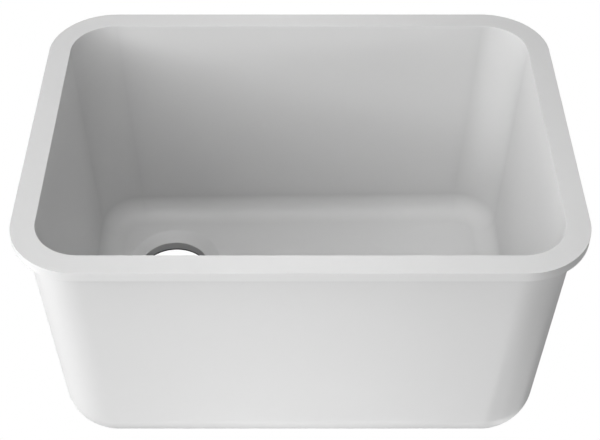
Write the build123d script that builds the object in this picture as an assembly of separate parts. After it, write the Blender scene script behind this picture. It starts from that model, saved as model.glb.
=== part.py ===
from build123d import *
import math
import os

# Undermount sink of cast solid surface, in millimetres.
# X runs left to right, +Y to the back and +Z up. The origin lies under the middle of the rim,
# in the plane that the sink stands on.

# Rim
rim_length = 597.0
rim_depth = 446.0
rim_width = 25.4
rim_thickness = 11.5
rim_corner_radius = 75.0
rim_top_ease = 0.6
rim_underside_ease = 0.5

# Bowl
overall_height = 318.0
rim_overhang = 13.4
wall_draft = 2.8
cove_radius = 28.0
bottom_edge_radius = 54.0
floor_thickness_at_middle = 25.0
floor_fall = 0.79
seat_in_rim = 3.0
bond_gap = 0.15

# Drain, for a basket waste that drops in from above
drain_bore_radius = 44.45
drain_recess_radius = 57.15
drain_recess_depth = 9.0
drain_offset_x = -164.0
drain_offset_y = 86.0
drain_underside_ease = 0.5

# Turn clips under the rim
clip_spread = 165.0
clip_setback = 7.2
clip_arm = 33.0
clip_width = 9.6
clip_thickness = 1.5
clip_end_radius = 1.6
clip_slot_length = 11.0
clip_slot_width = 4.6
clip_slot_margin = 2.8

# Screws and inserts that hold the clips
screw_radius = 2.0
screw_running_gap = 0.1
screw_engagement = 6.0
screw_head_radius = 3.75
screw_head_height = 2.2
screw_flange_radius = 4.3
screw_flange_thickness = 0.6
insert_radius = 3.0
insert_length = 7.5
insert_thread_gap = 0.05
insert_hole_gap = 0.1
insert_hole_relief = 0.6

cut_overrun = 1.0
hexagon = 6
quarter_turn = 90

# Worked out from the sizes above
rim_top = overall_height
rim_underside = rim_top - rim_thickness
wall_top = rim_underside + seat_in_rim
draft_rate = math.tan(math.radians(wall_draft))
fall_rate = math.tan(math.radians(floor_fall))
drain_floor = floor_thickness_at_middle + drain_offset_x * fall_rate
drain_seat = drain_floor - drain_recess_depth
drain_recess_rate = (drain_recess_radius - drain_bore_radius) / drain_recess_depth
body_length = rim_length - 2 * rim_overhang
body_depth = rim_depth - 2 * rim_overhang
body_corner_radius = rim_corner_radius - rim_overhang
opening_length = rim_length - 2 * rim_width
opening_depth = rim_depth - 2 * rim_width
opening_corner_radius = rim_corner_radius - rim_width


def leaning_profile(width, top, height):
    """A trapezium on edge: its two sides lean in by the draft as they go down."""
    lean = height * draft_rate
    return make_face(
        Polyline(
            (-width / 2, top),
            (width / 2, top),
            (width / 2 - lean, top - height),
            (lean - width / 2, top - height),
            close=True,
        )
    )


def drafted_block(length, depth, top, height, corner_radius):
    """A block whose four walls lean in by the draft as they go down, with its corners rounded."""
    along = extrude(Plane.XZ * leaning_profile(length, top, height), amount=depth, both=True)
    across = extrude(Plane.YZ * leaning_profile(depth, top, height), amount=length, both=True)
    block = along & across
    corners = block.edges().filter_by(lambda edge: edge.bounding_box().size.Z > height / 2)
    return fillet(corners, corner_radius)


def bowl_cavity():
    """The space that holds the water: drafted walls, a floor that falls to the left, and coves between."""
    top = rim_top + cut_overrun
    deepest = overall_height + cut_overrun
    grown = 2 * cut_overrun * draft_rate
    block = drafted_block(
        opening_length + grown, opening_depth + grown, top, deepest, opening_corner_radius
    )
    floor_plane = Plane(
        origin=(0, 0, floor_thickness_at_middle),
        x_dir=(1, 0, fall_rate),
        z_dir=(-fall_rate, 0, 1),
    )
    block = split(block, bisect_by=floor_plane, keep=Keep.TOP)
    floor_edges = block.faces().sort_by(Axis.Z)[0].edges()
    return fillet(floor_edges, cove_radius)


def drain_cutter():
    """The waste opening: a bore through the floor under a dished seat for the flange of the waste."""
    overrun_radius = drain_recess_radius + cut_overrun * drain_recess_rate
    profile = Polyline(
        (0, -cut_overrun),
        (drain_bore_radius + drain_underside_ease, -cut_overrun),
        (drain_bore_radius + drain_underside_ease, 0),
        (drain_bore_radius, drain_underside_ease),
        (drain_bore_radius, drain_seat),
        (overrun_radius, drain_floor + cut_overrun),
        (0, drain_floor + cut_overrun),
        close=True,
    )
    section = Plane.XZ * make_face(profile)
    return Pos(drain_offset_x, drain_offset_y, 0) * revolve(section, Axis.Z)


def bowl_shell(cavity):
    """The cast bowl. Its wall ends in a tongue that seats in the rebate under the rim."""
    body = drafted_block(body_length, body_depth, rim_underside, rim_underside, body_corner_radius)
    body = fillet(body.faces().sort_by(Axis.Z)[0].edges(), bottom_edge_radius)
    tongue = extrude(body.faces().sort_by(Axis.Z)[-1], amount=seat_in_rim, dir=(0, 0, 1))
    return body + tongue - cavity - drain_cutter()


def clip_places():
    """Where each clip turns: its name, its pivot, and the direction that its parked arm points in."""
    front = rim_depth / 2 - clip_setback
    side = rim_length / 2 - clip_setback
    return [
        ("clip_front_left", -clip_spread, -front, -2 * quarter_turn),
        ("clip_front_right", clip_spread, -front, -2 * quarter_turn),
        ("clip_right", side, clip_arm / 2, -quarter_turn),
        ("clip_back_right", clip_spread, front, 0),
        ("clip_back_left", -clip_spread, front, 0),
        ("clip_left", -side, -clip_arm / 2, quarter_turn),
    ]


def at_each_clip(shape):
    """Copies of one fixing, one at each clip's pivot, turned as its clip is."""
    return [
        Pos(x, y, rim_underside) * Rot(0, 0, heading) * shape
        for name, x, y, heading in clip_places()
    ]


def rim_flange(cavity):
    """The flat rim, cut from sheet, with a rebate for the wall and blind holes for the inserts."""
    outline = RectangleRounded(rim_length, rim_depth, rim_corner_radius)
    rim = Pos(0, 0, rim_underside) * extrude(outline, amount=rim_thickness)
    rim = rim - cavity
    rebate_outline = RectangleRounded(
        body_length + 2 * bond_gap, body_depth + 2 * bond_gap, body_corner_radius + bond_gap
    )
    rebate = extrude(rebate_outline, amount=seat_in_rim + cut_overrun)
    rim = rim - Pos(0, 0, rim_underside - cut_overrun) * rebate
    rim = chamfer(rim.faces().sort_by(Axis.Z)[-1].edges(), rim_top_ease)
    underside = rim.faces().sort_by(Axis.Z)[0]
    rim = chamfer(underside.outer_wire().edges(), rim_underside_ease)
    hole_depth = insert_length + insert_hole_relief
    hole = Cylinder(
        insert_radius + insert_hole_gap,
        hole_depth + cut_overrun,
        align=(Align.CENTER, Align.CENTER, Align.MIN),
    )
    for place in at_each_clip(Pos(0, 0, -cut_overrun) * hole):
        rim = rim - place
    return rim


def threaded_insert():
    """A hexagonal brass bush, set flush with the underside of the rim, with a clear bore for its thread."""
    body = RegularPolygon(insert_radius, hexagon) - Circle(screw_radius + insert_thread_gap)
    return extrude(body, amount=insert_length)


def clip_screw():
    """A hexagon-headed screw with a flange under its head, driven up through the clip into the insert."""
    seat = -clip_thickness
    head = extrude(RegularPolygon(screw_head_radius, hexagon), amount=-screw_head_height)
    flange = extrude(Circle(screw_flange_radius), amount=-screw_flange_thickness)
    shank = extrude(Circle(screw_radius), amount=screw_engagement - seat)
    return Pos(0, 0, seat) * (head + flange + shank)


def turn_clip():
    """A flat steel arm that turns on its screw, with a slot for the fitter's own screw."""
    bar = Pos(clip_arm / 2, 0) * Rectangle(clip_arm, clip_width)
    bar = fillet(bar.vertices().group_by(Axis.X)[-1], clip_end_radius)
    outline = bar + Circle(clip_width / 2) - Circle(screw_radius + screw_running_gap)
    slot_centre = clip_arm - clip_slot_margin - clip_slot_length / 2
    outline = outline - Pos(slot_centre, 0) * SlotOverall(clip_slot_length, clip_slot_width)
    return extrude(outline, amount=-clip_thickness)


os.makedirs("parts", exist_ok=True)
cavity = bowl_cavity()
nodes = {
    "bowl_shell": bowl_shell(cavity),
    "rim_flange": rim_flange(cavity),
    "threaded_inserts": Compound(at_each_clip(threaded_insert())),
    "clip_screws": Compound(at_each_clip(clip_screw())),
}
for name, x, y, heading in clip_places():
    nodes[name] = Pos(x, y, rim_underside) * Rot(0, 0, heading) * turn_clip()

for name, shape in nodes.items():
    export_step(shape, f"parts/{name}.step")
    box = shape.bounding_box()
    print(f"{name}: volume {shape.volume:.0f}, from {tuple(box.min)} to {tuple(box.max)}")
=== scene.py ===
import math

import bpy
import numpy as np
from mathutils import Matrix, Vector


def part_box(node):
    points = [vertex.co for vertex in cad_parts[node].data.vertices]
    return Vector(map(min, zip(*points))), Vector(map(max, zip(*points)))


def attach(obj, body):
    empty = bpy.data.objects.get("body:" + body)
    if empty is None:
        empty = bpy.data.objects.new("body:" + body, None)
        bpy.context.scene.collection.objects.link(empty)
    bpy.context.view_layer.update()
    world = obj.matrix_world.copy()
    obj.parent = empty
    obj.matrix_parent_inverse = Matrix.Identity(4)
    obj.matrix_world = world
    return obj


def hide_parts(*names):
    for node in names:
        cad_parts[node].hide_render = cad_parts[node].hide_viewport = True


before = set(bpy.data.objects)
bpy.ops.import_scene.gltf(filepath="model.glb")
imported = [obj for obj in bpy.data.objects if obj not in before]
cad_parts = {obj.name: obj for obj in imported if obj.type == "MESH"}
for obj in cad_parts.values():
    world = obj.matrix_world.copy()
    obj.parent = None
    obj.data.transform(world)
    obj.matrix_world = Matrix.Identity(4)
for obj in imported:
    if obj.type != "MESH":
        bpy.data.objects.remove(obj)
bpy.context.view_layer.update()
print("stage: the packed sink is loaded")

mm = 0.001
quarterTurn = math.pi / 2
fullTurn = 2 * math.pi


# An object of the scene, from its mesh, lamp or camera data.
def addObject(name, data):
    made = bpy.data.objects.new(name, data)
    bpy.context.scene.collection.objects.link(made)
    return made


# A piece is a grid of rings that closes both ways: ring k joins ring k + 1, the last ring joins the first,
# and so does the last point of each ring. Its volume is a sixth of the sum of each face's diagonals,
# crossed, times the face's middle, and where that is negative the faces are turned over. Edges that turn
# by more than sharpAngle stay crisp. Marks are attributes for the finish's painted shade and painted
# light, each with a value from 0 to 1 for every point of its first rings and 0 beyond.
def ringedPiece(name, rings, marks, sharpAngle):
    grid = np.array(rings, dtype=float)
    ringCount, pointCount, _ = grid.shape
    index = np.arange(ringCount * pointCount).reshape(ringCount, pointCount)
    ahead = np.roll(index, -1, axis=1)
    up, upAhead = np.roll(index, -1, axis=0), np.roll(ahead, -1, axis=0)
    quads = np.stack([index, ahead, upAhead, up], axis=-1).reshape(-1, 4)
    points = grid.reshape(-1, 3)
    corners = points[quads]
    crossed = np.cross(corners[:, 2] - corners[:, 0], corners[:, 3] - corners[:, 1])
    volume = np.sum(crossed * corners.mean(axis=1)) / 6
    if volume < 0:
        quads = quads[:, ::-1]
    mesh = bpy.data.meshes.new(name)
    mesh.from_pydata(points.tolist(), [], quads.tolist())
    mesh.shade_smooth()
    mesh.set_sharp_from_angle(angle=math.radians(sharpAngle))
    mesh.validate()
    for markName, values in marks.items():
        whole = np.zeros((ringCount, pointCount))
        whole[:len(values)] = values
        mesh.attributes.new(markName, "FLOAT", "POINT").data.foreach_set("value", whole.reshape(-1))
    return addObject(name, mesh)


# Rings part of the way from one ring to the next: the first one times (1 - share), plus the last times share.
def between(first, last, shares):
    return [first + (last - first) * share for share in shares]


pattern = {
    "alongPoints": 92,          # on the front and on the back
    "acrossPoints": 60,         # on the left and on the right
    "cornerPoints": 26,
    "crowdingShare": 0.6,
}


# Places along a straight side, from -1 to 1: even steps times (1 - the crowding share), plus their sine
# times that share, which brings the points closer together near the corners.
def sidePlaces(count):
    even = np.linspace(-1, 1, count, endpoint=False)
    return (1 - pattern["crowdingShare"]) * even + pattern["crowdingShare"] * np.sin(even * quarterTurn)


# The points of a rounded rectangle as shares of its sizes: a point is its corner's centre plus the corner
# radius times (cosine, sine), and along a straight side the centre slides while the angle stays.
def roundedPattern():
    slide, glide = sidePlaces(pattern["acrossPoints"]), sidePlaces(pattern["alongPoints"])
    cornerCount = pattern["cornerPoints"]
    bend = np.linspace(0, quarterTurn, cornerCount, endpoint=False)
    sides = [(np.ones_like(slide), slide), (-glide, np.ones_like(glide)),
             (-np.ones_like(slide), -slide), (glide, -np.ones_like(glide))]
    ends = [(1, 1), (-1, 1), (-1, -1), (1, -1)]
    sideX, sideY, angle = [], [], []
    for turn, ((alongX, alongY), (endX, endY)) in enumerate(zip(sides, ends)):
        start = turn * quarterTurn
        sideX += [alongX, np.full(cornerCount, float(endX))]
        sideY += [alongY, np.full(cornerCount, float(endY))]
        angle += [np.full(len(alongX), start), start + bend]
    angle = np.concatenate(angle)
    return np.concatenate(sideX), np.concatenate(sideY), np.cos(angle), np.sin(angle)


bowlLow, bowlHigh = (Vector(corner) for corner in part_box("bowl_shell"))
rimLow, rimHigh = (Vector(corner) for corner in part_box("rim_flange"))

bowl = {
    "draft": 2.8,               # degrees that each wall leans
    "rimWidth": 25.4 * mm,
    "outsideCorner": 61.6 * mm,
    "insideCorner": 49.6 * mm,
    "cove": 28 * mm,
    "bottomEdge": 54 * mm,
    "floorHeight": 25 * mm,     # at the middle of the sink
    "fall": 0.79,               # degrees, down to the left
    "seat": 3 * mm,             # how far the wall goes up into the rim
    "uprightCreaseShade": 0.7,       # how strong the painted shade along an upright crease is, beside the one over the cove
    "footCreaseShade": 0.45,         # and the painted shade at the foot of the cove
    "rightPaler": 0.6,          # how much of the painted shade over the cove is missing on the right-hand wall
    "shadeReach": 9 * mm,
    "rimShade": 0.5,           # the painted shade under the rim, as far down as the rim stands out, then fading
    "rimShadeReach": 5 * mm,
    "footLevels": 25,           # rings round the cove, and round the bottom edge
    "footPasses": 4,            # to settle the cove's height on the falling floor
    "wallShares": [0, 0.02, 0.1, 0.22, 0.36, 0.5, 0.62, 0.74, 0.84, 0.9, 0.94, 0.97, 0.985, 0.995],
    "floorShares": [0.01, 0.025, 0.045, 0.075, 0.12, 0.25, 0.4, 0.55, 0.7, 0.82, 0.91, 0.97],
    "baseShares": [0.03, 0.15, 0.35, 0.6, 0.82, 0.95],
    "bodyShares": [0.05, 0.2, 0.4, 0.6, 0.78, 0.86, 0.895, 0.915, 0.928, 0.938, 0.946, 0.97, 1],
    "tongueShares": [0.5],
    "sharpAngle": 35,           # degrees
}
drain = {
    "x": -164 * mm,
    "y": 86 * mm,
    "bore": 44.45 * mm,         # radius, and so is the recess
    "recess": 59.3 * mm,
    "depth": 9 * mm,
    "lipRound": 4.5 * mm,       # sanded edge between the floor and the recess
    "boreRound": 1.2 * mm,
    "underEase": 0.5 * mm,
    "paintedShadowTop": 2.9 * mm,     # height of the painted shadow line at the foot of the bore, where it meets the floor
    "paintedShadowFade": 0.3 * mm,     # height over which that line starts
    "lipLevels": 9,
    "boreLevels": 8,
    "recessShares": [0.1, 0.35, 0.65, 0.9],
    "boreShares": [0.1, 0.5, 0.9, 1],
}
rim = {
    "corner": 75 * mm,
    "topRound": 0.2 * mm,
    "underRound": 0.5 * mm,
    "hold": 1.5 * mm,           # from a rounded edge to the ring that keeps the face beside it flat
    "bondGap": 0.15 * mm,
    "edgeLevels": 7,
    "topShares": [0.25, 0.5, 0.75],
    "seatShares": [0.5, 1],
    "undersideShares": [0.3, 0.75],
    "sharpAngle": 35,           # degrees
}

patternX, patternY, cosine, sine = roundedPattern()
around = len(patternX)
quarter = np.arctan2(sine, cosine) % quarterTurn
intoCorner = np.minimum(quarter, quarterTurn - quarter)     # angle from the nearer end of the corner's arc
draftAngle = math.radians(bowl["draft"])
draftRate = math.tan(draftAngle)
fallRate = math.tan(math.radians(bowl["fall"]))
underside, rimTop = rimLow.z, rimHigh.z
wallTop = underside + bowl["seat"]
overhang = rimHigh.x - bowlHigh.x

outside = {
    "halfLength": bowlHigh.x, "halfDepth": bowlHigh.y, "top": underside,
    "corner": bowl["outsideCorner"], "foot": bowl["bottomEdge"], "floor": bowlLow.z, "fall": 0.0,
}
inside = {
    "halfLength": rimHigh.x - bowl["rimWidth"], "halfDepth": rimHigh.y - bowl["rimWidth"], "top": rimTop,
    "corner": bowl["insideCorner"], "foot": bowl["cove"], "floor": bowl["floorHeight"], "fall": fallRate,
}


# One level of a block with leaning walls: a rounded rectangle, smaller by the draft times the height
# below the block's top, and by the inset.
def blockRing(block, height, inset=0.0):
    height = np.broadcast_to(height, (around,))
    lean = (block["top"] - height) * draftRate + inset
    radius = block["corner"] - inset
    x = patternX * (block["halfLength"] - lean - radius) + radius * cosine
    y = patternY * (block["halfDepth"] - lean - radius) + radius * sine
    return np.stack([x, y, height], axis=1)


# How far the rounded foot of such a block draws in from its wall. A ball of the foot's radius rolls
# between the wall and the floor, and swing is the angle of its contact, from square on the wall to
# straight down: the radius times (1 over the draft's cosine, plus the sine times the draft's tangent,
# minus the cosine).
def footInset(block, swing):
    return block["foot"] * (1 / math.cos(draftAngle) + math.sin(swing) * draftRate - math.cos(swing))


# One level of that foot, at the floor plus the radius times (1 plus the sine). The floor's height hangs
# on x, and x on the height, so both are found in a few passes.
def footRing(block, swing):
    rise = block["foot"] * (1 + math.sin(swing))
    x = np.zeros(around)
    for _ in range(bowl["footPasses"]):
        ring = blockRing(block, block["floor"] + block["fall"] * x + rise, footInset(block, swing))
        x = ring[:, 0]
    return ring


# The swings of a foot from the wall down to the floor, a little closer together at both ends: even
# shares minus their sine.
def footSwings():
    share = np.linspace(0, 1, bowl["footLevels"])
    share = share - np.sin(fullTurn * share) / (2 * fullTurn)
    return -draftAngle + share * (draftAngle - quarterTurn)


# How strong the painted shade is on a level of the inside wall near an upright crease, where the flat of a
# wall turns into a corner: e to the power of minus the distance along the level over the shade's reach.
def uprightCreaseShade(height, inset=0.0):
    lean = (inside["top"] - height) * draftRate + inset
    radius = inside["corner"] - inset
    away = (1 - np.abs(patternX)) * (inside["halfLength"] - lean - radius) + intoCorner * radius
    away = away + (1 - np.abs(patternY)) * (inside["halfDepth"] - lean - radius)
    return bowl["uprightCreaseShade"] * np.exp(-away / bowl["shadeReach"])


# The inside wall and its cove, and how much painted shade each ring has: the greatest of the painted
# shade along the upright creases, over the cove and at its foot, each e to the power of minus the distance
# over its reach. Down the cove the painted shade of the upright creases fades, by (1 - the share of the way
# down).
def wallAndCove():
    swings = footSwings()
    cove = [footRing(inside, swing) for swing in swings]
    wall = between(blockRing(inside, wallTop), cove[0], bowl["wallShares"])
    shade = 1 - bowl["rightPaler"] * np.maximum(cosine, 0)
    crease = []
    for ring in wall:
        above = (ring[:, 2] - cove[0][:, 2]) / bowl["shadeReach"]
        crease.append(np.maximum(uprightCreaseShade(ring[:, 2]), shade * np.exp(-above)))
    for ring, swing in zip(cove, swings):
        past = (swings[0] - swing) / (swings[0] - swings[-1])
        fading = uprightCreaseShade(ring[:, 2], footInset(inside, swing)) * (1 - past)
        belowWall = bowl["cove"] * (swings[0] - swing) / bowl["shadeReach"]
        aboveFloor = bowl["cove"] * (swing - swings[-1]) / bowl["shadeReach"]
        level = np.maximum(shade * math.exp(-belowWall), bowl["footCreaseShade"] * math.exp(-aboveFloor))
        crease.append(np.maximum(fading, level))
    return wall + cove, crease


floorAtDrain = inside["floor"] + fallRate * drain["x"]
seatHeight = floorAtDrain - drain["depth"]
flare = (drain["recess"] - drain["bore"]) / drain["depth"]
dip = math.atan(1 / flare)      # angle of the recess's slope


# A level round the drain: its centre plus the radius times the ray.
def drainRing(ray, radius, height):
    flat = np.array([drain["x"], drain["y"]]) + ray * np.broadcast_to(radius, (around,))[:, None]
    return np.column_stack([flat, np.broadcast_to(height, (around,))])


# The lip of the recess. Its sharp edge would lie where the flare meets the falling floor, at the recess's
# radius over (1 - the flare times the fall times the ray's x). It is rounded: out by the reach minus the
# rounding times the sine of the turn, and down by the rounding times (1 - the cosine), while the floor's
# fall fades out with the turn.
def lipRings(ray):
    edgeRadius = drain["recess"] / (1 - flare * fallRate * ray[:, 0])
    edgeHeight = floorAtDrain + fallRate * edgeRadius * ray[:, 0]
    reach = drain["lipRound"] * math.tan(dip / 2)
    lip = []
    for turn in np.linspace(0, dip, drain["lipLevels"]):
        outward = reach - drain["lipRound"] * math.sin(turn)
        drop = drain["lipRound"] * (1 - math.cos(turn))
        tilt = fallRate * outward * ray[:, 0] * (1 - turn / dip)
        lip.append(drainRing(ray, edgeRadius + outward, edgeHeight + tilt - drop))
    return lip


# The bore's rounded upper edge: from the recess's slope on to straight down, with the radius greater by
# the rounding times (1 - the sine of the turn), and the height by the rounding times its cosine.
def boreEdgeRings(ray):
    reach = drain["boreRound"] * math.tan((quarterTurn - dip) / 2)
    bore = []
    for turn in np.linspace(dip, quarterTurn, drain["boreLevels"]):
        radius = drain["bore"] + drain["boreRound"] * (1 - math.sin(turn))
        bore.append(drainRing(ray, radius, seatHeight - reach + drain["boreRound"] * math.cos(turn)))
    return bore


# The shell's section, ring by ring: down the inside wall, round the cove, over the floor, down the
# recess and the bore, out under the sink, round its bottom edge, up the outside wall and over the top.
# The floor's painted shade is e to the power of minus the distance in from its edge over the shade's reach,
# and so is the painted shade under the rim on the outside wall, with the distance below the rim's overhang.
def bowlRings():
    rings, crease = wallAndCove()
    foot = rings[-1]
    angle = np.arctan2(foot[:, 1] - drain["y"], foot[:, 0] - drain["x"])
    ray = np.stack([np.cos(angle), np.sin(angle)], axis=1)
    lip = lipRings(ray)
    floor = between(foot, lip[0], bowl["floorShares"])
    for ring in floor:
        inward = (foot[:, 0] - ring[:, 0]) * cosine + (foot[:, 1] - ring[:, 1]) * sine
        crease.append(bowl["footCreaseShade"] * np.exp(-inward / bowl["shadeReach"]))
    rings += floor + lip

    bore = boreEdgeRings(ray)
    rings += between(lip[-1], bore[0], drain["recessShares"]) + bore
    lineTop = drainRing(ray, drain["bore"], drain["paintedShadowTop"])
    rings += between(bore[-1], lineTop, drain["boreShares"])
    boreFoot = [drainRing(ray, drain["bore"], height)
                for height in (drain["paintedShadowTop"] - drain["paintedShadowFade"], drain["underEase"])]
    # Painted shadow: the foot of the bore, where it stands on the floor, gets a dark line in its colour.
    cutterMark = [np.zeros(around)] * len(rings) + [np.ones(around)] * len(boreFoot)
    mouth = drainRing(ray, drain["bore"] + drain["underEase"], 0.0)
    rings += boreFoot + [mouth]

    edge = [footRing(outside, swing) for swing in footSwings()[::-1]]
    rings += between(mouth, edge[0], bowl["baseShares"]) + edge
    crease += [np.zeros(around)] * (len(rings) - len(crease))
    outerTop = blockRing(outside, underside)
    body = between(edge[-1], outerTop, bowl["bodyShares"])
    # Painted shade under the rim's overhang on the outside wall, fading downwards.
    for ring in body:
        past = underside - ring[:, 2] - overhang
        crease.append(bowl["rimShade"] * np.exp(-np.maximum(past, 0) / bowl["rimShadeReach"]))
    rings += body
    tongue = outerTop + np.array([0, 0, bowl["seat"]])
    rings += [tongue] + between(tongue, blockRing(inside, wallTop), bowl["tongueShares"])
    return rings, {"crease": crease, "cutterMark": cutterMark}


bowlShell = ringedPiece("bowlShell", *bowlRings(), bowl["sharpAngle"])
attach(bowlShell, "sink")
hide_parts("bowl_shell")
print("stage: bowl shell,", len(bowlShell.data.polygons), "faces")


# A level of the rim's outer side: its rounded rectangle, smaller by the inset.
def rimOuterRing(inset, height):
    radius = rim["corner"] - inset
    x = patternX * (rimHigh.x - inset - radius) + radius * cosine
    y = patternY * (rimHigh.y - inset - radius) + radius * sine
    return np.column_stack([x, y, np.full(around, height)])


# The rim's section: up its outer side, over the top, down its inner side, out over the seat for the
# bowl's wall, and back under. A rounded edge is a quarter turn of rings: in by its radius times
# (1 - the cosine) and up or down by its radius times (1 - the sine).
def rimRings():
    turns = np.linspace(0, quarterTurn, rim["edgeLevels"])
    top, under = rim["topRound"], rim["underRound"]
    rings = [rimOuterRing(under * (1 - math.cos(turn)), underside + under * (1 - math.sin(turn)))
             for turn in turns[::-1]]
    rings += [rimOuterRing(0, underside + under + rim["hold"]), rimOuterRing(0, rimTop - top - rim["hold"])]
    # Painted light: the rim's outer side, and its top edge fading over the rounding, are painted lighter.
    sawnEdge = [np.ones(around)] * len(rings) + [np.full(around, math.cos(turn)) for turn in turns]
    rings += [rimOuterRing(top * (1 - math.cos(turn)), rimTop - top * (1 - math.sin(turn))) for turn in turns]

    outerHold = rimOuterRing(top + rim["hold"], rimTop)
    innerHold = blockRing(inside, rimTop, -top - rim["hold"])
    rings += [outerHold] + between(outerHold, innerHold, rim["topShares"]) + [innerHold]
    rings += [blockRing(inside, rimTop - top * (1 - math.cos(turn)), -top * (1 - math.sin(turn)))
              for turn in turns]
    # Painted shade: the rim's inner side gets the shade of the upright creases.
    crease = [np.zeros(around)] * len(rings)
    heights = [rimTop - top - rim["hold"], wallTop]
    rings += [blockRing(inside, height) for height in heights]
    crease += [uprightCreaseShade(height) for height in heights]

    rebate = rimOuterRing(overhang - rim["bondGap"], wallTop)
    rings += between(rings[-1], rebate, rim["seatShares"])
    rings.append(rebate - np.array([0, 0, bowl["seat"]]))
    rings += between(rings[-1], rings[0], rim["undersideShares"])
    return rings, {"crease": crease, "sawnEdge": sawnEdge}


rimFlange = ringedPiece("rimFlange", *rimRings(), rim["sharpAngle"])
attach(rimFlange, "sink")
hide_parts("rim_flange")
print("stage: rim,", len(rimFlange.data.polygons), "faces")


# A socket that can stand in a sum: an operator adds its Math node and gives back the node's output.
class Wire:
    def __init__(self, finish, socket):
        self.finish = finish
        self.socket = socket

    def combined(self, operation, first, second):
        return self.finish.node("ShaderNodeMath", {"operation": operation}, {0: first, 1: second})

    def __add__(self, other):
        return self.combined("ADD", self, other)

    def __radd__(self, other):
        return self.combined("ADD", other, self)

    def __sub__(self, other):
        return self.combined("SUBTRACT", self, other)

    def __rsub__(self, other):
        return self.combined("SUBTRACT", other, self)

    def __mul__(self, other):
        return self.combined("MULTIPLY", self, other)

    def __rmul__(self, other):
        return self.combined("MULTIPLY", other, self)


mixSockets = {"first": 6, "second": 7, "result": 2}     # where the Mix node has its colours


# A material under construction. node() makes any node: first its settings, then the values or wires
# of its sockets, and it gives back a wire from one of its outputs.
class Finish:
    def __init__(self, name):
        self.material = bpy.data.materials.new(name)
        self.material.use_nodes = True
        self.tree = self.material.node_tree
        self.tree.nodes.clear()

    def node(self, kind, settings, sockets, output=0):
        made = self.tree.nodes.new(kind)
        for key, value in settings.items():
            setattr(made, key, value)
        for key, value in sockets.items():
            if isinstance(value, Wire):
                self.tree.links.new(value.socket, made.inputs[key])
            else:
                made.inputs[key].default_value = value
        return Wire(self, made.outputs[output]) if made.outputs else None

    # Noise on the piece's own coordinates, with the size of its spots in millimetres.
    def grain(self, size, detail, roughness, stretch=(1, 1, 1)):
        place = self.node("ShaderNodeTexCoord", {}, {}, "Object")
        place = self.node("ShaderNodeMapping", {}, {"Vector": place, "Scale": stretch})
        sockets = {"Vector": place, "Scale": 1 / (size * mm), "Detail": detail, "Roughness": roughness}
        return self.node("ShaderNodeTexNoise", {"noise_dimensions": "3D"}, sockets)

    # A colour between two: the first times (1 - factor), plus the second times factor.
    def mixed(self, factor, first, second):
        sockets = {"Factor": factor, mixSockets["first"]: first, mixSockets["second"]: second}
        return self.node("ShaderNodeMix", {"data_type": "RGBA"}, sockets, mixSockets["result"])

    # The finished shader, from its sockets' values or wires.
    def close(self, sockets):
        shader = self.node("ShaderNodeBsdfPrincipled", {}, sockets)
        self.node("ShaderNodeOutputMaterial", {}, {"Surface": shader})
        return self.material


noiseMiddle = 0.5       # the value that noise swings about
castResin = {           # the sizes of its grains are in millimetres
    "pale": (0.69, 0.69, 0.69, 1),
    "deep": (0.66, 0.66, 0.66, 1),
    "cloudWeight": 0.6,
    "fillerWeight": 0.4,
    "paintedShadeGrey": (0.615, 0.615, 0.615, 1),   # painted shade in the creases and under the rim
    "paintedShadowBlack": (0.03, 0.03, 0.03, 1),      # painted shadow along the foot of the bore
    "paintedRimLightWhite": (0.705, 0.705, 0.705, 1),       # painted light on the rim's outer side
    "cloud": {"size": 55, "detail": 3, "roughness": 0.55},      # soft clouds in the casting
    "filler": {"size": 0.7, "detail": 2, "roughness": 0.6},     # grains of mineral filler
    "sanding": {"size": 0.35, "detail": 2, "roughness": 0.7},   # the finest scratches
    "padSpacing": 38 * mm,      # between the points that the sanding arcs are rings round
    "arcRate": 260.0,           # radians of the arcs' wave in one spacing
    "scratchHeight": 0.7,
    "arcHeight": 0.06,
    "fillerHeight": 0.3,
    "bump": 0.012 * mm,
    "roughness": 0.46,
    "scratchRoughness": 0.10,   # how far the scratches and the clouds swing the roughness
    "cloudRoughness": 0.08,
    "refraction": 1.5,
}


# Cast solid surface: white resin with soft clouds and a fine mineral grain, with painted shade in the
# creases and under the rim, a painted shadow at the foot of the bore and painted light on the rim's outer
# side. Its sheen is broken by orbital sanding, whose arcs are rings round scattered points: the sine of the
# distance to the nearest point times the rate.
def makeCastResin():
    f = Finish("castResin")
    c = castResin
    cloud = f.grain(**c["cloud"])
    filler = f.grain(**c["filler"])
    colour = f.mixed(cloud * c["cloudWeight"] + filler * c["fillerWeight"], c["deep"], c["pale"])
    # Painted shade, painted shadow and painted light, each mixed into the base colour by its attribute.
    for markName, tone in (("crease", "paintedShadeGrey"), ("cutterMark", "paintedShadowBlack"), ("sawnEdge", "paintedRimLightWhite")):
        mark = f.node("ShaderNodeAttribute", {"attribute_name": markName}, {}, "Fac")
        colour = f.mixed(mark, colour, c[tone])
    place = f.node("ShaderNodeTexCoord", {}, {}, "Object")
    away = f.node("ShaderNodeTexVoronoi", {}, {"Vector": place, "Scale": 1 / c["padSpacing"]}, "Distance")
    arcs = f.node("ShaderNodeMath", {"operation": "SINE"}, {0: away * c["arcRate"]})
    scratch = f.grain(**c["sanding"])
    height = scratch * c["scratchHeight"] + arcs * c["arcHeight"] + filler * c["fillerHeight"]
    bump = f.node("ShaderNodeBump", {}, {"Height": height, "Strength": 1.0, "Distance": c["bump"]})
    roughness = (c["roughness"] + (scratch - noiseMiddle) * c["scratchRoughness"]
                 + (cloud - noiseMiddle) * c["cloudRoughness"])
    return f.close({"Base Color": colour, "Roughness": roughness, "Normal": bump, "IOR": c["refraction"]})


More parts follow.
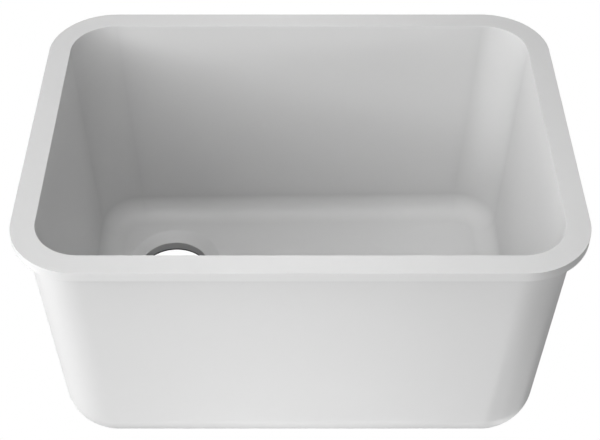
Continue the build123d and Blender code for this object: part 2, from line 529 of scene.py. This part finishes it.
metalGrain = {          # sizes in millimetres
    "spots": {"size": 2.5, "detail": 3, "roughness": 0.6},
    "lines": {"size": 0.4, "detail": 2, "roughness": 0.6},
    "lineStrength": 0.6,
    "lineRoughness": 0.16,      # how far the lines and the spots swing the roughness
    "spotRoughness": 0.12,
}
zincPlate = {
    "colour": (0.66, 0.67, 0.68, 1), "dull": (0.55, 0.565, 0.58, 1), "roughness": 0.34,
    "lineDepth": 0.008 * mm, "stretch": (1, 1, 1),
}
plainSteel = {
    "colour": (0.64, 0.64, 0.63, 1), "dull": (0.54, 0.54, 0.53, 1), "roughness": 0.30,
    "lineDepth": 0.002 * mm, "stretch": (1, 1, 0.1),
}
turnedBrass = {
    "colour": (0.72, 0.56, 0.28, 1), "dull": (0.58, 0.43, 0.20, 1), "roughness": 0.32,
    "lineDepth": 0.003 * mm, "stretch": (1, 1, 0.1),
}


# Metal: two close tones mixed by a spotty noise, and fine lines from a noise that may be stretched
# along one way.
def makeMetal(name, c):
    f = Finish(name)
    spots = f.grain(**metalGrain["spots"])
    lines = f.grain(**metalGrain["lines"], stretch=c["stretch"])
    colour = f.mixed(spots, c["dull"], c["colour"])
    bump = f.node("ShaderNodeBump", {},
                  {"Height": lines, "Strength": metalGrain["lineStrength"], "Distance": c["lineDepth"]})
    roughness = (c["roughness"] + (lines - noiseMiddle) * metalGrain["lineRoughness"]
                 + (spots - noiseMiddle) * metalGrain["spotRoughness"])
    return f.close({"Base Color": colour, "Metallic": 1.0, "Roughness": roughness, "Normal": bump})


resinFinish = makeCastResin()
for piece in (bowlShell, rimFlange):
    piece.data.materials.append(resinFinish)
zincFinish = makeMetal("zincPlate", zincPlate)
steelFinish = makeMetal("plainSteel", plainSteel)
brassFinish = makeMetal("turnedBrass", turnedBrass)
fixingFinishes = {"clip_screws": steelFinish, "threaded_inserts": brassFinish}
for nodeName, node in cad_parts.items():
    if nodeName.startswith("clip_") or nodeName in fixingFinishes:
        for materialSlot in node.material_slots:
            materialSlot.material = fixingFinishes.get(nodeName, zincFinish)
print("stage: finishes")


page = {
    "reach": 30.0,              # metres
    "glow": 1.0,
    "height": -0.2 * mm,        # of the floor, just under the sink
    "meridians": 48,            # of the backdrop
    "levels": 25,
}


# A shape that only the camera sees, as evenly white paper. Its back is clear, so that the sink can be
# looked at from below, and it neither lights the sink nor takes its shadow.
def addPaper(name, mesh):
    f = Finish(name)
    back = f.node("ShaderNodeNewGeometry", {}, {}, "Backfacing")
    white = f.node("ShaderNodeEmission", {}, {"Color": (1, 1, 1, 1), "Strength": page["glow"]})
    clear = f.node("ShaderNodeBsdfTransparent", {}, {})
    mixed = f.node("ShaderNodeMixShader", {}, {0: back, 1: white, 2: clear})
    f.node("ShaderNodeOutputMaterial", {}, {"Surface": mixed})
    mesh.materials.append(f.material)
    paper = addObject(name, mesh)
    paper.visible_diffuse = False
    paper.visible_glossy = False
    paper.visible_transmission = False
    paper.visible_shadow = False


# The floor: one flat square that the sink stands on.
def floorMesh():
    corners = np.array([[-1, -1, 0], [1, -1, 0], [1, 1, 0], [-1, 1, 0]]) * page["reach"]
    corners[:, 2] = page["height"]
    mesh = bpy.data.meshes.new("pageFloor")
    mesh.from_pydata(corners.tolist(), [], [(0, 1, 2, 3)])
    return mesh


# The backdrop: a ball round everything, seen from inside. A point is the reach times
# (cos v cos u, cos v sin u, sin v).
def backdropMesh():
    levels, meridians = page["levels"], page["meridians"]
    u = np.linspace(0, fullTurn, meridians, endpoint=False)
    v = np.linspace(-quarterTurn, quarterTurn, levels)
    x, y = np.outer(np.cos(v), np.cos(u)), np.outer(np.cos(v), np.sin(u))
    points = np.stack([x, y, np.outer(np.sin(v), np.ones(meridians))], axis=-1) * page["reach"]
    index = np.arange(levels * meridians).reshape(levels, meridians)
    ahead = np.roll(index, -1, axis=1)
    quads = np.stack([index[:-1], index[1:], ahead[1:], ahead[:-1]], axis=-1).reshape(-1, 4)
    mesh = bpy.data.meshes.new("pageBackdrop")
    mesh.from_pydata(points.reshape(-1, 3).tolist(), [], quads.tolist())
    return mesh


addPaper("pageFloor", floorMesh())
addPaper("pageBackdrop", backdropMesh())

flag = {
    "radius": 45.5 * mm,
    "height": -0.5 * mm,
    "points": 48,
    "black": (0.02, 0.02, 0.02, 1),
    "roughness": 0.9,
}


# A black card under the drain, out of the camera's sight, keeps the low lamps from shining up through it.
# It is round: the drain's centre plus the radius times (cosine, sine).
def addFlag():
    turn = np.linspace(0, fullTurn, flag["points"], endpoint=False)
    points = np.stack([drain["x"] + flag["radius"] * np.cos(turn), drain["y"] + flag["radius"] * np.sin(turn),
                       np.full(flag["points"], flag["height"])], axis=1)
    mesh = bpy.data.meshes.new("flag")
    mesh.from_pydata(points.tolist(), [], [tuple(range(flag["points"]))])
    f = Finish("flagBlack")
    mesh.materials.append(f.close({"Base Color": flag["black"], "Roughness": flag["roughness"]}))
    card = addObject("flag", mesh)
    card.visible_camera = False


addFlag()

# Each lamp is a round soft box of one of four kinds. Azimuth runs from the right-hand side towards the
# back, elevation is above the floor, both in degrees and seen from the middle of the sink. Sizes and
# distances are in metres, powers in watts.
softBoxes = {
    "wide": {"distance": 3.0, "size": 1.2},
    "near": {"distance": 1.5, "size": 0.5},
    "small": {"distance": 3.0, "size": 0.35},
    "close": {"distance": 0.885, "size": 0.3},
}
aimHeight = 0.16
lamps = {
    "leftSide": {"box": "wide", "azimuth": 205, "elevation": 25, "power": 23.4},
    "leftHigh": {"box": "wide", "azimuth": 215, "elevation": 40, "power": 10.8},
    "leftSpot": {"box": "small", "azimuth": 200, "elevation": 20, "power": 5.7},
    "leftTop": {"box": "wide", "azimuth": 225, "elevation": 72, "power": 17.7},
    "leftBackLow": {"box": "wide", "azimuth": 160, "elevation": 10, "power": 20.5},
    "leftFloor": {"box": "wide", "azimuth": 200, "elevation": -18, "power": 44.4},
    "frontLeftLow": {"box": "wide", "azimuth": 240, "elevation": 10, "power": 10.3},
    "frontLow": {"box": "small", "azimuth": 255, "elevation": 8, "power": 4.65},
    "front": {"box": "wide", "azimuth": 255, "elevation": 25, "power": 17.2},
    "frontTop": {"box": "close", "azimuth": 279.5, "elevation": 70.1, "power": 1.56},
    "frontFloor": {"box": "wide", "azimuth": 270, "elevation": -60, "power": 30.1},
    "under": {"box": "near", "azimuth": 270, "elevation": -85, "power": 0.93},
    "frontRightLow": {"box": "small", "azimuth": 315, "elevation": 8, "power": 5.35},
    "frontRightFloor": {"box": "small", "azimuth": 330, "elevation": -60, "power": 10.8},
    "rightTop": {"box": "near", "azimuth": 0, "elevation": 70, "power": 1.5},
    "rightFloor": {"box": "wide", "azimuth": 0, "elevation": -60, "power": 11.7},
    "rightBackFloor": {"box": "wide", "azimuth": 20, "elevation": -18, "power": 26.0},
    "backHigh": {"box": "near", "azimuth": 90, "elevation": 50, "power": 2.7},
    "backTop": {"box": "small", "azimuth": 90, "elevation": 80, "power": 2.7},
    "backClose": {"box": "close", "azimuth": 102.5, "elevation": 58.1, "power": 0.35},
    "backLow": {"box": "wide", "azimuth": 95, "elevation": -8, "power": 42.0},   # for the views from behind
}


# A lamp's place is its distance times its direction, and it faces the middle of the sink.
def addLamp(name, lamp):
    box = softBoxes[lamp["box"]]
    azimuth, elevation = math.radians(lamp["azimuth"]), math.radians(lamp["elevation"])
    away = Vector((math.cos(elevation) * math.cos(azimuth), math.cos(elevation) * math.sin(azimuth),
                   math.sin(elevation)))
    data = bpy.data.lights.new(name, "AREA")
    data.shape = "DISK"
    data.size = box["size"]
    data.energy = lamp["power"]
    made = addObject(name, data)
    made.location = away * box["distance"] + Vector((0, 0, aimHeight))
    made.rotation_euler = away.to_track_quat("Z", "Y").to_euler()


for lampName, lamp in lamps.items():
    addLamp(lampName, lamp)

world = bpy.data.worlds.new("room")     # dark, so that only the lamps light the sink
world.use_nodes = True
world.node_tree.nodes["Background"].inputs["Strength"].default_value = 0.0
bpy.context.scene.world = world

camera = {
    "place": (-8.603 * mm, -1119.45 * mm, 1240.73 * mm),
    "tilt": 46.5275,            # degrees up from looking straight down
    "lens": 78.14,              # and the film's width, in millimetres
    "film": 36,
    "shift": 0.01327,           # share of the film's width
    "nearest": 0.02,            # metres
    "farthest": 200,
}
eye = bpy.data.cameras.new("eye")
eye.sensor_width = camera["film"]
eye.lens = camera["lens"]
eye.shift_x = camera["shift"]
eye.clip_start = camera["nearest"]
eye.clip_end = camera["farthest"]
eyeObject = addObject("eye", eye)
eyeObject.location = camera["place"]
eyeObject.rotation_euler = (math.radians(camera["tilt"]), 0, 0)
bpy.context.scene.camera = eyeObject
bpy.context.scene.view_settings.view_transform = "Standard"
print("stage: page, light and camera")
